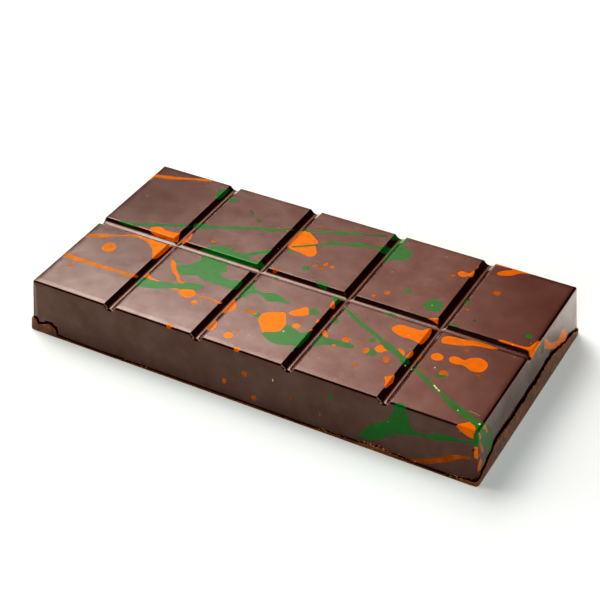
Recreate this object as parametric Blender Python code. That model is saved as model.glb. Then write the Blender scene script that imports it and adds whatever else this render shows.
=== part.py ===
"""A filled chocolate bar as it comes out of its mould: one solid, ten segments, resting on its flat back.

Metres, +Z up, +X along the bar, -Y towards the viewer. The origin is the centre of the footprint.
"""
from math import cos, hypot, radians, sin, tan

import bmesh
import bpy

MM = 0.001
MICRON = 0.001 * MM

# The moulded body: the sharp outline of its top face, its height, and how far the walls lean out
TOP_LENGTH = 145.3 * MM
TOP_WIDTH = 72.7 * MM
HEIGHT = 18.1 * MM
WALL_LEAN = 0.0945
CORNER_RADIUS = 1.25 * MM
EDGE_RADIUS = 0.45 * MM

# The break lines: four across the bar and one along it, all with the same section, a round channel
# whose shoulders are rounded too
CROSS_GROOVES = [-45 * MM, -15 * MM, 15 * MM, 45 * MM]
LONG_GROOVES = [0.0]
GROOVE_HALF_WIDTH = 2.15 * MM
GROOVE_DEPTH = 1.42 * MM
SHOULDER_RADIUS = 0.42 * MM
CHANNEL_RADIUS = (GROOVE_HALF_WIDTH ** 2 / GROOVE_DEPTH + GROOVE_DEPTH) / 2 - SHOULDER_RADIUS
CHANNEL_HALF_WIDTH = GROOVE_HALF_WIDTH * CHANNEL_RADIUS / (CHANNEL_RADIUS + SHOULDER_RADIUS)

# The film of chocolate that crept out at the foot: how far it stands proud, and the ledge above its rim
FILM_FOOT = 0.42 * MM
FILM_RIM = 0.40 * MM
FILM_LEDGE = 0.30 * MM

# Height of that film in mm, at places along each side in mm: by x at the front and back, by y at the ends
FRONT_FILM = [(-72.6, 4.4), (-71.8, 2.6), (-70.4, 3.0), (-68.2, 3.9), (-66.6, 3.8), (-65.5, 2.7),
              (-64.8, 0.8), (-52, 0.6), (-40, 0.9), (-10, 1.1), (20, 1.0), (38, 1.5), (43, 1.9),
              (50, 1.5), (56, 1.0), (66, 0.8), (72.6, 1.7)]
RIGHT_FILM = [(-36.3, 1.7), (-33, 3.0), (-29, 4.4), (-26, 5.8), (-22, 6.4), (-18, 5.8), (-13, 5.4),
              (-10, 5.8), (-5, 5.6), (-1, 6.1), (3, 5.8), (9, 6.3), (16, 6.7), (20, 5.8), (24, 4.8),
              (28, 4.0), (33, 3.5), (36.3, 2.0)]
BACK_FILM = [(-72.6, 1.3), (-60, 1.0), (-44, 1.4), (-28, 0.9), (-10, 1.2), (12, 0.8), (30, 1.3),
             (48, 1.0), (64, 1.5), (72.6, 2.0)]
LEFT_FILM = [(-36.3, 4.4), (-33.5, 4.9), (-30, 3.6), (-24, 2.2), (-10, 1.6), (4, 2.0), (16, 1.4),
             (28, 1.8), (36.3, 1.3)]

# How finely the flat stretches of the walls are divided
WALL_STEP = 3.6 * MM
CHOCOLATE = (0.055, 0.024, 0.015, 1.0)


def groove_depth(distance):
    """Depth of a break line at a distance from its middle: round channel, then round shoulder."""
    side = abs(distance)
    if side > GROOVE_HALF_WIDTH - MICRON:
        return 0.0
    if side > CHANNEL_HALF_WIDTH:
        return SHOULDER_RADIUS - (SHOULDER_RADIUS ** 2 - (GROOVE_HALF_WIDTH - side) ** 2) ** 0.5
    return GROOVE_DEPTH - CHANNEL_RADIUS + (CHANNEL_RADIUS ** 2 - side ** 2) ** 0.5


def groove_offsets():
    """Distances from the middle of a break line at which the surface gets a line of vertices."""
    half = [CHANNEL_HALF_WIDTH * share for share in (0.28, 0.55, 0.8, 1.0)]
    shoulder = GROOVE_HALF_WIDTH - CHANNEL_HALF_WIDTH
    half += [CHANNEL_HALF_WIDTH + shoulder * share for share in (0.45, 1.0)]
    return [-value for value in reversed(half)] + [0.0] + half


def edge_rings():
    """Insets and drops of the lines that round the top edge, from the wall inwards."""
    lean = radians(90) - WALL_LEAN
    inset = EDGE_RADIUS * tan(lean / 2)
    angles = [lean, lean * 0.67, lean * 0.34, 0.0]
    return [(inset - EDGE_RADIUS * sin(a), EDGE_RADIUS * (1 - cos(a))) for a in angles]


def grid_lines(half_size, grooves, extra):
    """Lines across the top from one border to the other: edge rings, walls' divisions and break lines."""
    rings = [half_size - inset for inset, _ in edge_rings()]
    corner = [half_size - CORNER_RADIUS * share for share in (0.66, 1.0)]
    inner = [-value for value in corner]
    inner += [middle + offset for middle in grooves for offset in groove_offsets()]
    inner += list(reversed(corner))
    lines = [-value for value in rings]
    for start, end in zip(inner[:-1], inner[1:]):
        lines.append(start)
        if end - start > 5 * MM:
            count = round((end - start) / WALL_STEP)
            even = [start + (end - start) * k / count for k in range(1, count)]
            lines += sorted(even + [value for value in extra if start < value < end])
    lines.append(inner[-1])
    lines += list(reversed(rings))
    return lines


def film_height(points, place):
    """Height of the film at a place along a side, between its listed points."""
    place = place / MM
    if place <= points[0][0]:
        return points[0][1] * MM
    for (place_a, height_a), (place_b, height_b) in zip(points[:-1], points[1:]):
        if place <= place_b:
            share = (place - place_a) / (place_b - place_a)
            return (height_a + (height_b - height_a) * share) * MM
    return points[-1][1] * MM


def round_corner(x, y, half_x, half_y):
    """Pull a square corner of the outline onto its arc."""
    over_x = abs(x) - (half_x - CORNER_RADIUS)
    over_y = abs(y) - (half_y - CORNER_RADIUS)
    if over_x <= 0 or over_y <= 0:
        return x, y
    scale = max(over_x, over_y) / hypot(over_x, over_y)
    x_sign = 1 if x > 0 else -1
    y_sign = 1 if y > 0 else -1
    return (x_sign * (half_x - CORNER_RADIUS + over_x * scale),
            y_sign * (half_y - CORNER_RADIUS + over_y * scale))


def outward(x, y, half_x, half_y):
    """Direction in plan that faces straight out of the wall at a point of the border."""
    over_x = max(abs(x) - (half_x - CORNER_RADIUS), 0)
    over_y = max(abs(y) - (half_y - CORNER_RADIUS), 0)
    length = hypot(over_x, over_y)
    return over_x / length * (1 if x > 0 else -1), over_y / length * (1 if y > 0 else -1)


def build_bar():
    mesh_data = bmesh.new()
    rings = edge_rings()
    last_ring = len(rings) - 1
    flake_lines = [value * MM for value in (-69.2, -67.4, -65.5, -64.8)]
    xs = grid_lines(TOP_LENGTH / 2, CROSS_GROOVES, flake_lines)
    ys = grid_lines(TOP_WIDTH / 2, LONG_GROOVES, [])
    columns = len(xs)
    rows = len(ys)
    half_x = xs[-1]
    half_y = ys[-1]
    groove_x = [max(groove_depth(x - middle) for middle in CROSS_GROOVES) for x in xs]
    groove_y = [max(groove_depth(y - middle) for middle in LONG_GROOVES) for y in ys]

    def ring_of(index, count):
        return min(index, count - 1 - index, last_ring)

    # Top surface: every crossing of the lines that is needed, at its height
    top = {}

    def top_vertex(i, j):
        if (i, j) not in top:
            depth = max(groove_x[i], groove_y[j])
            drop = rings[min(ring_of(i, columns), ring_of(j, rows))][1]
            x, y = round_corner(xs[i], ys[j], half_x, half_y)
            if ring_of(i, columns) < last_ring:
                x += WALL_LEAN * groove_y[j] * (1 if x > 0 else -1)
            if ring_of(j, rows) < last_ring:
                y += WALL_LEAN * groove_x[i] * (1 if y > 0 else -1)
            top[i, j] = mesh_data.verts.new((x, y, HEIGHT - depth - drop))
        return top[i, j]

    # The flat tops of the segments are one face each; everything else on top is a strip or a rounding
    def flat_runs(depths, count):
        runs = []
        start = last_ring
        for index in range(last_ring, count - last_ring):
            at_end = index == count - 1 - last_ring
            if depths[index] == 0 and (at_end or depths[index + 1] > 0):
                runs.append((start, index))
            if depths[index] > 0 and not at_end and depths[index + 1] == 0:
                start = index + 1
        return runs

    column_runs = flat_runs(groove_x, columns)
    row_runs = flat_runs(groove_y, rows)
    flat_cells = set()
    for i_low, i_high in column_runs:
        for j_low, j_high in row_runs:
            loop = [(i, j_low) for i in range(i_low, i_high)]
            loop += [(i_high, j) for j in range(j_low, j_high)]
            loop += [(i, j_high) for i in range(i_high, i_low, -1)]
            loop += [(i_low, j) for j in range(j_high, j_low, -1)]
            mesh_data.faces.new([top_vertex(i, j) for i, j in loop])
            flat_cells |= {(i, j) for i in range(i_low, i_high) for j in range(j_low, j_high)}

    for i in range(columns - 1):
        for j in range(rows - 1):
            if (i, j) in flat_cells:
                continue
            a, b = top_vertex(i, j), top_vertex(i + 1, j)
            c, d = top_vertex(i + 1, j + 1), top_vertex(i, j + 1)
            if abs(a.co.z + c.co.z - b.co.z - d.co.z) < 1e-9:
                mesh_data.faces.new((a, b, c, d))
            elif abs(b.co.z - d.co.z) < abs(a.co.z - c.co.z):
                mesh_data.faces.new((a, b, c))
                mesh_data.faces.new((a, c, d))
            else:
                mesh_data.faces.new((a, b, d))
                mesh_data.faces.new((b, c, d))

    # Walls: once round the border, down to the ledge, out to the film's rim and down to its foot
    border = [(i, 0, FRONT_FILM, xs[i]) for i in range(columns - 1)]
    border += [(columns - 1, j, RIGHT_FILM, ys[j]) for j in range(rows - 1)]
    border += [(i, rows - 1, BACK_FILM, xs[i]) for i in range(columns - 1, 0, -1)]
    border += [(0, j, LEFT_FILM, ys[j]) for j in range(rows - 1, 0, -1)]
    wall = []
    for i, j, points, place in border:
        start = top[i, j]
        out_x, out_y = outward(start.co.x, start.co.y, half_x, half_y)
        rim = film_height(points, place)
        column = [start]
        for height, proud in ((rim + FILM_LEDGE, 0.0), (rim, FILM_RIM), (0.0, FILM_FOOT)):
            out = WALL_LEAN * (start.co.z - height) + proud
            column.append(mesh_data.verts.new((start.co.x + out_x * out, start.co.y + out_y * out, height)))
        wall.append(column)
    for left, right in zip(wall, wall[1:] + wall[:1]):
        for k in range(3):
            mesh_data.faces.new((left[k], left[k + 1], right[k + 1], right[k]))
    mesh_data.faces.new([column[3] for column in reversed(wall)])

    bmesh.ops.recalc_face_normals(mesh_data, faces=mesh_data.faces)
    mesh = bpy.data.meshes.new("chocolate_bar")
    mesh_data.to_mesh(mesh)
    mesh_data.free()
    bar = bpy.data.objects.new("chocolate_bar", mesh)
    bpy.context.scene.collection.objects.link(bar)
    return bar


def chocolate_material():
    material = bpy.data.materials.new("chocolate")
    material.use_nodes = True
    shader = material.node_tree.nodes["Principled BSDF"]
    shader.inputs["Base Color"].default_value = CHOCOLATE
    shader.inputs["Roughness"].default_value = 0.38
    material.diffuse_color = CHOCOLATE
    return material


for old in list(bpy.data.objects):
    bpy.data.objects.remove(old, do_unlink=True)

bar = build_bar()
bar.data.materials.append(chocolate_material())
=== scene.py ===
import random
from math import asin, ceil, cos, hypot, pi, radians, sin, sqrt, tan, tau

import bmesh
import bpy
import numpy as np
from mathutils import Matrix, Vector, noise
from mathutils.geometry import delaunay_2d_cdt


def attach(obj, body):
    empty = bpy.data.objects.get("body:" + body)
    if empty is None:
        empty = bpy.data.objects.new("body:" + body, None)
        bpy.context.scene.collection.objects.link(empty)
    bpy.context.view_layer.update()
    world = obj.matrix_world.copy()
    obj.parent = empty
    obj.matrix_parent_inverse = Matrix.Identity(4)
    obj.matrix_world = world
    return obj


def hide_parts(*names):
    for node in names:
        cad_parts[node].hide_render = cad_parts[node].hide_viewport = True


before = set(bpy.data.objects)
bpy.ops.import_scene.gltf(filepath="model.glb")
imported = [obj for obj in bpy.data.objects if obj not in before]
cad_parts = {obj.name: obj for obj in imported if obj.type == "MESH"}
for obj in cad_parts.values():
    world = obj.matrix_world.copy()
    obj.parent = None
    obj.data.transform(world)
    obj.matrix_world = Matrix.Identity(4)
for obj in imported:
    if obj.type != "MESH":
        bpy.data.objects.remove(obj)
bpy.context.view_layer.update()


# The moulded body. Dark chocolate cast upside down in a ten-segment mould and turned out on its flat
# back: the walls lean out towards the table, and round channels part the segments. Sizes are in mm.
MM = 0.001
HEIGHT = 18.1
HALF_LENGTH = 73.0
HALF_WIDTH = 36.7
WALL_LEAN = 0.0744
EDGE_RADIUS = 0.8
CORNER_RADIUS = 0.6
CROSS_CHANNELS = [-45.0, -15.0, 15.0, 45.0]
CHANNEL_REACH = 2.2
CHANNEL_DEPTH = 1.3
SHOULDER_RADIUS = 0.46
CHANNEL_RADIUS = (CHANNEL_REACH ** 2 / CHANNEL_DEPTH + CHANNEL_DEPTH) / 2 - SHOULDER_RADIUS
CHANNEL_SIDE = CHANNEL_REACH * CHANNEL_RADIUS / (CHANNEL_RADIUS + SHOULDER_RADIUS)
CORNER_BLEND = 0.16
SHEET_STEP = 1.4

# The top edge is an arc from the flat top to the leaning wall, so the border lies a hair further out
EDGE_TURN = pi / 2 - WALL_LEAN
EDGE_INSET = EDGE_RADIUS * tan(EDGE_TURN / 2)
EDGE_DROP = EDGE_RADIUS * (1 - cos(EDGE_TURN))
BORDER_X = HALF_LENGTH + EDGE_RADIUS * sin(EDGE_TURN) - EDGE_INSET
BORDER_Y = HALF_WIDTH + EDGE_RADIUS * sin(EDGE_TURN) - EDGE_INSET
GIRTH = 4 * (BORDER_X + BORDER_Y)


def channel_drop(reach):
    """Depth at a distance out from a segment's flat top: a round shoulder, then the round channel."""
    if reach <= 0:
        return 0.0
    side = CHANNEL_REACH - min(reach, CHANNEL_REACH)
    if side > CHANNEL_SIDE:
        return SHOULDER_RADIUS - sqrt(SHOULDER_RADIUS ** 2 - reach ** 2)
    return CHANNEL_DEPTH - CHANNEL_RADIUS + sqrt(CHANNEL_RADIUS ** 2 - side ** 2)


def segment_reach(x, y):
    """Distance out from the nearest segment's flat top; where channels cross, its corner is a mitre."""
    out_x = CHANNEL_REACH - min(abs(x - middle) for middle in CROSS_CHANNELS)
    out_y = CHANNEL_REACH - abs(y)
    if min(out_x, out_y) <= -CORNER_BLEND:
        return max(out_x, out_y)
    return (out_x + out_y + hypot(out_x - out_y, CORNER_BLEND)) / 2


def drop_at(x, y):
    """Depth of the channels below a place of the flat top."""
    return channel_drop(segment_reach(x, y))


def edge_turn(inset):
    """How far the rounded top edge has turned down at a distance in from the border."""
    start = EDGE_INSET - (HALF_LENGTH - BORDER_X + inset)
    return asin(min(max(start / EDGE_RADIUS, 0.0), sin(EDGE_TURN)))


def round_corner(x, y):
    """Pull a square corner of the outline onto its arc."""
    over_x = abs(x) - (BORDER_X - CORNER_RADIUS)
    over_y = abs(y) - (BORDER_Y - CORNER_RADIUS)
    if over_x <= 0 or over_y <= 0:
        return x, y
    scale = max(over_x, over_y) / hypot(over_x, over_y)
    new_x = BORDER_X - CORNER_RADIUS + over_x * scale
    new_y = BORDER_Y - CORNER_RADIUS + over_y * scale
    return (new_x if x > 0 else -new_x), (new_y if y > 0 else -new_y)


def outward(x, y):
    """Direction in plan that faces out of the wall; at a corner it runs along the mitre."""
    over_x = max(abs(x) - (BORDER_X - CORNER_RADIUS), 0.0)
    over_y = max(abs(y) - (BORDER_Y - CORNER_RADIUS), 0.0)
    if over_x == over_y == 0.0:
        return 0.0, 0.0
    most = max(over_x, over_y)
    return over_x / most * (1 if x > 0 else -1), over_y / most * (1 if y > 0 else -1)


def top_place(x, y):
    """Where a point of the flat top sheet lies on the moulded top, as x, y and height."""
    channel = drop_at(x, y)
    turn = edge_turn(min(BORDER_X - abs(x), BORDER_Y - abs(y)))
    edge = EDGE_RADIUS * (1 - cos(turn))
    place_x, place_y = round_corner(x, y)
    out_x, out_y = outward(place_x, place_y)
    lean = WALL_LEAN * channel * edge / EDGE_DROP
    return place_x + out_x * lean, place_y + out_y * lean, HEIGHT - channel - edge


def border_point(along):
    """Point of the top sheet's border at a distance round it, from the front left corner to the right."""
    along = (along + BORDER_X) % GIRTH
    if along < 2 * BORDER_X:
        return along - BORDER_X, -BORDER_Y
    along -= 2 * BORDER_X
    if along < 2 * BORDER_Y:
        return BORDER_X, along - BORDER_Y
    along -= 2 * BORDER_Y
    if along < 2 * BORDER_X:
        return BORDER_X - along, BORDER_Y
    return -BORDER_X, BORDER_Y - (along - 2 * BORDER_X)


def grid_lines(border, channels):
    """Lines across the top sheet: rounded edges, flats in even steps, and each channel's section."""
    turns = [EDGE_TURN * share for share in (1.0, 0.8, 0.6, 0.4, 0.2, 0.0)]
    lines = [border - (EDGE_RADIUS * (sin(EDGE_TURN) - sin(turn))) for turn in turns]
    lines += [border - CORNER_RADIUS * share for share in (0.66, 1.0)]
    lines = [-value for value in lines] + lines
    section = [CHANNEL_SIDE * share for share in (0.0, 0.14, 0.28, 0.42, 0.56, 0.7, 0.82, 0.92, 1.0)]
    section += [CHANNEL_SIDE + (CHANNEL_REACH - CHANNEL_SIDE) * share for share in (0.3, 0.65, 1.0)]
    section += [CHANNEL_REACH + CORNER_BLEND]
    for middle in channels:
        lines += [middle + value for value in section] + [middle - value for value in section[1:]]
    lines.sort()
    filled = lines[:1]
    for value in lines[1:]:
        count = ceil((value - filled[-1]) / SHEET_STEP)
        start = filled[-1]
        filled += [start + (value - start) * k / count for k in range(1, count + 1)]
    return filled


columns = grid_lines(BORDER_X, CROSS_CHANNELS)
rows = grid_lines(BORDER_Y, [0.0])


# The splatter. Coloured cocoa butter flicked into the mould before the chocolate, so it lies flush in
# the surface as pools, streaks and drops, some so thin that the chocolate shows through.
# A blot is its outline and its cover, from 0 to 1; on the walls x runs on round the bar and y is depth.
OUTLINE_STEP = 0.35
SPINE_STEP = 0.7
STREAK_WOBBLE = 0.22
DROP_WOBBLE = 0.10
LANDING_TURNS = 12
FLICKED_FROM = (183.0, -327.6, 276.3)
RIGHT_WALL = BORDER_X + BORDER_Y


def between(a, b, c, d, t):
    """A point from b to c on the smooth curve that also runs through a and d."""
    return 0.5 * (2 * b + (c - a) * t + (2 * a - 5 * b + 4 * c - d) * t ** 2
                  + (3 * b - a - 3 * c + d) * t ** 3)


def wavy(x, y, scale, layer):
    """Smooth noise at a place in plan, finer as the scale grows; each layer has its own waves."""
    return noise.noise(Vector((x * scale, y * scale, layer)))


def pool(cover, *corners):
    """A pool with a smooth shore through its corners."""
    outline = []
    count = len(corners)
    for k in range(count):
        a, b, c, d = (Vector(corners[(k + step) % count]) for step in (-1, 0, 1, 2))
        pieces = max(1, round((c - b).length / OUTLINE_STEP))
        for piece in range(pieces):
            spot = between(a, b, c, d, piece / pieces)
            outline.append((spot.x, spot.y))
    return cover, outline


def streak(cover, *spine):
    """A streak along a spine of (x, y, half width), with round ends."""
    fine = []
    for k in range(len(spine) - 1):
        a = Vector(spine[max(k - 1, 0)])
        b = Vector(spine[k])
        c = Vector(spine[k + 1])
        d = Vector(spine[min(k + 2, len(spine) - 1)])
        pieces = max(1, round((c - b).length / SPINE_STEP))
        fine += [between(a, b, c, d, piece / pieces) for piece in range(pieces)]
    fine.append(Vector(spine[-1]))
    left = []
    right = []
    for k, spot in enumerate(fine):
        ahead = fine[min(k + 1, len(fine) - 1)] - fine[max(k - 1, 0)]
        side = Vector((-ahead.y, ahead.x)).normalized()
        wobble = 1 + STREAK_WOBBLE * wavy(spot.x, spot.y, 0.9, 3.0)
        left.append(spot.xy + side * spot.z * wobble)
        right.append(spot.xy - side * spot.z * wobble)
    outline = []
    for middle, shore in ((fine[-1], right), (fine[0], left[::-1])):
        outline += [tuple(spot) for spot in shore]
        start = shore[-1] - middle.xy
        for k in (1, 2, 3):
            turned = start.copy()
            turned.rotate(Matrix.Rotation(pi * k / 4, 2))
            outline.append(tuple(middle.xy + turned))
    return cover, outline


def drop(cover, x, y, half_x, half_y=None, turn=0.0):
    """A round or oval drop, slightly out of true."""
    half_y = half_y or half_x
    count = max(10, round(pi * (half_x + half_y) / OUTLINE_STEP))
    outline = []
    for k in range(count):
        angle = tau * k / count
        wobble = 1 + DROP_WOBBLE * wavy(x + cos(angle), y + sin(angle), 1.0, half_x)
        across = half_x * wobble * cos(angle)
        up = half_y * wobble * sin(angle)
        outline.append((x + across * cos(turn) - up * sin(turn), y + across * sin(turn) + up * cos(turn)))
    return cover, outline


def drops(*sizes):
    """Several drops, each from its own values."""
    return [drop(*values) for values in sizes]


def on_right_wall(shape, cover, *points):
    """A pool or streak on the right wall, its points measured along the wall from its middle."""
    return shape(cover, *((RIGHT_WALL + point[0], *point[1:]) for point in points))


def landed(outline):
    """Where an outline drawn level with the tops lands: in a channel the spray comes in at a slant."""
    spots = []
    for x, y in outline:
        slant_x = (FLICKED_FROM[0] - x) / FLICKED_FROM[2]
        slant_y = (FLICKED_FROM[1] - y) / FLICKED_FROM[2]
        place_x, place_y = x, y
        for _ in range(LANDING_TURNS):
            depth = drop_at(place_x, place_y)
            place_x += 0.5 * (x - slant_x * depth - place_x)
            place_y += 0.5 * (y - slant_y * depth - place_y)
        spots.append((place_x, place_y))
    return spots


ORANGE_TOP = [
    pool(0.95, (-58, -2.1), (-47, -2), (-45.5, -2), (-45.6, -9), (-46.8, -10.5), (-48.3, -8.5),
        (-49.5, -6.5), (-51.5, -4.9), (-54, -3.5), (-57, -2.7)),
    streak(0.6, (-73.5, -10.1, .5), (-70, -8.6, .8), (-67.5, -7.2, 1.0), (-64, -5.3, .35),
        (-60, -3.2, .5), (-58, -2.3, .9)),
    drop(0.7, -62.3, -11.6, 2.3),
    streak(0.6, (-73.5, -21.3, .95), (-65, -21.3, .95), (-55, -21, .7), (-46.2, -20.6, .7)),
    drop(0.35, -67.3, -24.9, .8),
    pool(0.9, (-43.9, -17.4), (-42.5, -18.4), (-40.5, -19), (-38.5, -19.3), (-41, -19.7), (-43.9, -19.7)),
    streak(0.8, (-41, -8.3, .5), (-39.5, -10.2, .8), (-37.8, -12.4, .7), (-35.5, -14.2, .55),
        (-33.5, -16.4, .5), (-31.8, -16.7, .4)),
    streak(0.7, (-35, -20.6, .3), (-31, -20.2, .3), (-25, -19.8, .3), (-20, -19.9, .3), (-17, -20, .3)),
    pool(0.9, (-31, -20.3), (-29.5, -18.8), (-27.2, -18.3), (-26, -19.2), (-25.6, -20.5), (-26.5, -22),
        (-28, -22.5), (-30, -21.9)),
    *drops((0.9, -16.9, -20, .6), (0.8, -23.8, -23.3, 1.0), (0.8, -24.3, -36.2, .95, .8)),
    pool(0.9, (-13.9, -17), (-12.3, -18.6), (-11.6, -19.8), (-12, -21.5), (-12.8, -23), (-13.9, -23.4)),
    pool(0.9, (-13.9, -27.8), (-12.6, -29), (-12.1, -30.5), (-12.6, -32.2), (-13.9, -32.4)),
    streak(0.42, (-9.5, -19.7, .2), (-7.3, -19.4, .7), (-5, -19.6, .5)),
    pool(1.0, (-3.3, -18.6), (-1.5, -17), (.5, -15.8), (2.3, -15.2), (3, -16), (4, -17.8), (5.2, -20),
        (5.3, -22), (5.2, -23.3), (4, -24.5), (2, -25.5), (1.2, -26.3), (0, -25.2), (-1.5, -23.4),
        (-3, -21.6)),
    pool(1.0, (3.3, -14.3), (4.5, -12.3), (6, -10.2), (7, -9.9), (8, -11.2), (8.8, -12.6), (7.5, -14.2),
        (5.5, -15.2), (3.7, -15.2)),
    *drops((1.0, 8.3, -19.2, 1.2), (1.0, -6.9, -32, 1.4), (0.4, -5.2, -28.8, .5),
        (0.9, -1.5, -36.2, 1.1, .7), (0.9, 12.6, -14.2, .4, 1.0), (0.9, 13, -18.8, .4, .7)),
    pool(1.0, (33.1, -6.5), (34, -4.9), (35.5, -4.3), (38, -4.3), (40.5, -4.2), (41.7, -3.4),
        (42.3, -2.5), (42.8, -1.8), (43.6, -2.5), (44.3, -5), (44.2, -8.5), (43.7, -10.2), (42.3, -9.6),
        (40, -9.2), (37.5, -9.4), (35, -8.8), (33.5, -7.9)),
    pool(0.95, (42.9, -13.8), (43.7, -15), (43.8, -16.3), (43.2, -17.6), (42.3, -17.2), (42.4, -15.5)),
    pool(0.9, (38.8, -14.9), (39.8, -14.4), (41, -15.2), (41.6, -16.8), (40.2, -16.3)),
    pool(1.0, (33.2, -16.2), (34, -15.4), (35.2, -15.6), (36.3, -16.2), (36.8, -16.8), (36, -17.6),
        (35.3, -18.6), (34.2, -18.8), (33, -18.1), (32.8, -17.1)),
    pool(0.55, (36.8, -19.7), (38, -19.4), (38.8, -20.5), (38.9, -21.9), (38.1, -22), (37, -21.1)),
    drop(0.58, 23.8, -18.2, 1.2, 1.3),
    pool(0.9, (16.4, -16.8), (17.5, -17.9), (18.8, -19.5), (17.5, -19.6), (16.4, -18.6)),
    *drops((0.4, 31.3, -27, .8, .7), (0.35, 27.7, -17.3, .5)),
    pool(1.0, (43, -25.7), (43.6, -27), (44.1, -29), (43.8, -30.5), (43.3, -32.2), (42.6, -31),
        (42, -29.3), (41.2, -28.3), (40.9, -27.5), (41.8, -27), (42.5, -26.3)),
    *drops((0.7, 15.6, -10, .3, .6), (0.4, 45.9, -15.3, .3, 1.4)),
    pool(1.0, (47.8, -4.7), (48.5, -3.3), (50.5, -2.6), (53, -2.3), (55.3, -1.6), (58, -1.3),
        (63.5, -1.5), (62.5, -2.4), (60, -2.9), (57, -3.6), (55, -4.7), (52.5, -5.7), (50, -6.4),
        (48.5, -6.4)),
    drop(1.0, 50.1, -13, 1.8, 1.65),
    pool(1.0, (53.3, -12), (53.8, -10.8), (55.2, -10.3), (56.6, -10.6), (57.6, -10.7), (58.6, -9.2),
        (61, -7.9), (63.5, -8.8), (64.4, -11), (63.6, -13.4), (61.2, -14.2), (58.8, -13.2), (57.4, -13),
        (56, -13.6), (54.2, -13.3)),
    *drops((0.35, 56.4, -6.3, .65), (0.35, 63.8, -15, .7)),
    pool(0.55, (53.5, -18), (54.5, -17.3), (55.7, -17.8), (56.2, -18.9), (55.3, -19.6), (53.8, -19.5)),
    drop(0.4, 50, -20.1, .35),
    pool(1.0, (66.6, -36.9), (68.3, -34.9), (70, -33.6), (71.2, -34.8), (71.9, -36), (71.9, -38),
        (68, -38)),
    streak(0.75, (-73.5, 29.5, .8), (-68, 30.8, .95), (-62, 33, .65), (-57, 34.9, .7), (-54.3, 35.9, .7)),
    drop(0.6, -72.6, 28.1, .7, 1.9),
    pool(0.95, (-56.5, 3.8), (-55, 4.9), (-53.5, 5.2), (-51.5, 4.4), (-49, 4.7), (-47.5, 5), (-46.9, 5.3),
        (-46.2, 3.8), (-45.3, 1.8), (-44.8, .6), (-47, .2), (-50, .4), (-53, .4), (-54.5, .9), (-56, 1.8),
        (-56.5, 2.8)),
    pool(0.9, (-43.6, 6.8), (-42.8, 6), (-42.3, 4), (-42.4, 2), (-42.8, .6), (-43.6, 1), (-43.8, 2),
        (-43.6, 4.5)),
    drop(0.4, -35.3, 6.3, .7),
    pool(1.0, (-13.8, 24), (-12.5, 24.6), (-11, 24.6), (-10, 23.8), (-8, 22.5), (-6.5, 21.4), (-6, 20.3),
        (-5.9, 19), (-5, 17.5), (-4, 16), (-3.7, 14.8), (-4.2, 13.5), (-5.3, 12.9), (-7, 13.2),
        (-9, 13.6), (-11.5, 13.7), (-12.8, 14.2), (-13.7, 15.3)),
    *drops((0.4, -9.5, 29, .5), (0.55, 1.5, 11.6, .7, 1.1), (0.6, 3.9, 11.5, .75), (0.4, -1.1, 9.8, .8),
        (0.4, 1.5, 9, .6), (0.4, 3, 8.8, .3)),
    pool(0.35, (-11.8, 2.4), (-9.6, 2.4), (-10.2, .2)),
    drop(1.0, 40.3, 26.6, 1.6, 1.4),
    streak(0.8, (41, 27, .8), (42.5, 27.3, .6)),
    pool(0.95, (42.6, 29.8), (43.3, 28.5), (43.6, 26.8), (43, 26.1), (42.3, 27), (42.1, 28)),
    *drops((0.4, 38, 24.4, .7, .8), (0.7, 42.9, 31.8, .25, .7)),
    pool(0.95, (40, 1.9), (41.3, 2.5), (42.7, 3.4), (43.2, 3.2), (43.6, 1.9), (44.1, .7), (43.2, .8),
        (42, 1.3), (40.8, 1.5)),
    *drops((0.5, 24.4, 7.5, .9, 1.0), (0.4, 21.5, 4.3, .7)),
    pool(0.9, (46.3, 38), (60.3, 37), (58, 35.9), (55.8, 35.2), (54.8, 34.2), (53.8, 32.9), (52, 31.8),
        (50, 31.1), (49.2, 31.9), (49.8, 33), (51, 34.3), (52.5, 35.3), (52.3, 35.9), (50, 35.7),
        (46.3, 35.8)),
    *drops((0.5, 53.2, 22.5, 1.15), (0.4, 48.6, 11.1, .7, .5)),
    pool(1.0, (71.2, 3.3), (71.7, 4.8), (72.3, 6.8), (73.6, 7.4), (73.6, -.2), (72.6, -.2), (71.8, 1.2),
        (70, 1.6), (63, 1.5), (63, 2.6), (69, 2.6)),
]
ORANGE_WALL = [
    pool(1.0, (66.9, -.2), (72, -.6), (72, .5), (71.9, 2.6), (70.2, 2.5), (68.5, 1.8), (67.2, .9)),
    streak(0.35, (71.5, 9.3, .35), (68, 10.4, .6), (65.5, 11.9, 1.0), (63, 13.5, .8), (60, 15.2, .8),
        (57, 16.4, .6), (54, 17.2, .4)),
    *drops((0.5, 1.2, 7.5, .9), (0.5, 4.4, 14.8, .9), (0.55, -5.6, 12.4, .7, 1.0), (0.3, 16.4, 10.6, .4)),
    streak(0.9, (72.7, 4.5, .45), (73.0, 8.7, .45)),
    *drops((0.8, -24.3, .3, .95, .5), (0.9, -1.5, .3, 1.1, .45)),
    on_right_wall(pool, 0.6, (-36.5, 13.6), (-36.4, 11), (-35.2, 10.2), (-34.6, 11.6), (-35.2, 13.4)),
    on_right_wall(streak, 0.85, (11.5, 3, .9), (12, 4.5, 1.3), (14, 6.3, 1.0), (17, 8.3, 1.0),
        (20, 10, 1.1), (22.5, 11.2, 1.3), (25, 11.5, 1.0), (27.5, 13, .5)),
    on_right_wall(pool, 0.85, (20, 9.3), (22.5, 8.9), (24.5, 7.9), (26.5, 8.9), (28, 11), (29, 12.8),
        (28, 14), (25, 13), (22, 12.2), (19.5, 11)),
    on_right_wall(pool, 1.0, (-.2, -.5), (7.4, -.5), (6.6, .9), (4, 1.1), (2, 1.5), (1, 1.7)),
]
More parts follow.
